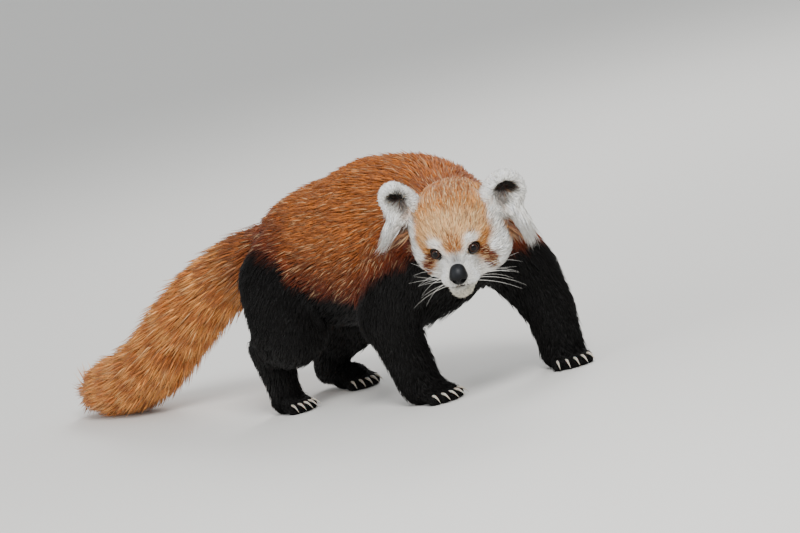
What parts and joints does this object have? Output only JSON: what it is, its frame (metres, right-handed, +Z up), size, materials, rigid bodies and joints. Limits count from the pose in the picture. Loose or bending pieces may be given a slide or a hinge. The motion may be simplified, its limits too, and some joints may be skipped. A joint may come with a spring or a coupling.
{
  "type": "red panda",
  "caption": "Life-size red panda walking on four feet, head turned to its right, bushy ringed tail trailing to the floor.",
  "frame": {"origin": "on the floor, under the middle of the animal's box", "axes": "+X the way the animal walks, +Y its left side, +Z up"},
  "size_m": [0.8306, 0.2294, 0.272],
  "materials": {
    "rust_fur": "matt",
    "black_fur": "matt",
    "face_fur": "matt",
    "white_fur": "matt",
    "tail_fur": "matt",
    "nose_pad": "satin",
    "eye": "gloss",
    "claw": "satin"
  },
  "bodies": {
    "root": {"head": "face_fur", "neck": "rust_fur", "torso": "rust_fur", "front_right_leg": "black_fur", "front_right_paw": "black_fur", "front_left_leg": "black_fur", "front_left_paw": "black_fur", "hind_right_leg": "black_fur", "hind_right_paw": "black_fur", "hind_left_leg": "black_fur", "hind_left_paw": "black_fur", "tail_1": "tail_fur", "tail_2": "tail_fur", "tail_3": "tail_fur", "tail_4": "tail_fur", "ear_left": "white_fur", "ear_right": "white_fur", "eye_left": "eye", "eye_right": "eye", "nose": "nose_pad", "front_right_claw_1": "claw", "front_right_claw_2": "claw", "front_right_claw_3": "claw", "front_right_claw_4": "claw", "front_right_claw_5": "claw", "front_left_claw_1": "claw", "front_left_claw_2": "claw", "front_left_claw_3": "claw", "front_left_claw_4": "claw", "front_left_claw_5": "claw", "hind_right_claw_1": "claw", "hind_right_claw_2": "claw", "hind_right_claw_3": "claw", "hind_right_claw_4": "claw", "hind_right_claw_5": "claw", "hind_left_claw_1": "claw", "hind_left_claw_2": "claw", "hind_left_claw_3": "claw", "hind_left_claw_4": "claw", "hind_left_claw_5": "claw"}
  },
  "joints": []
}
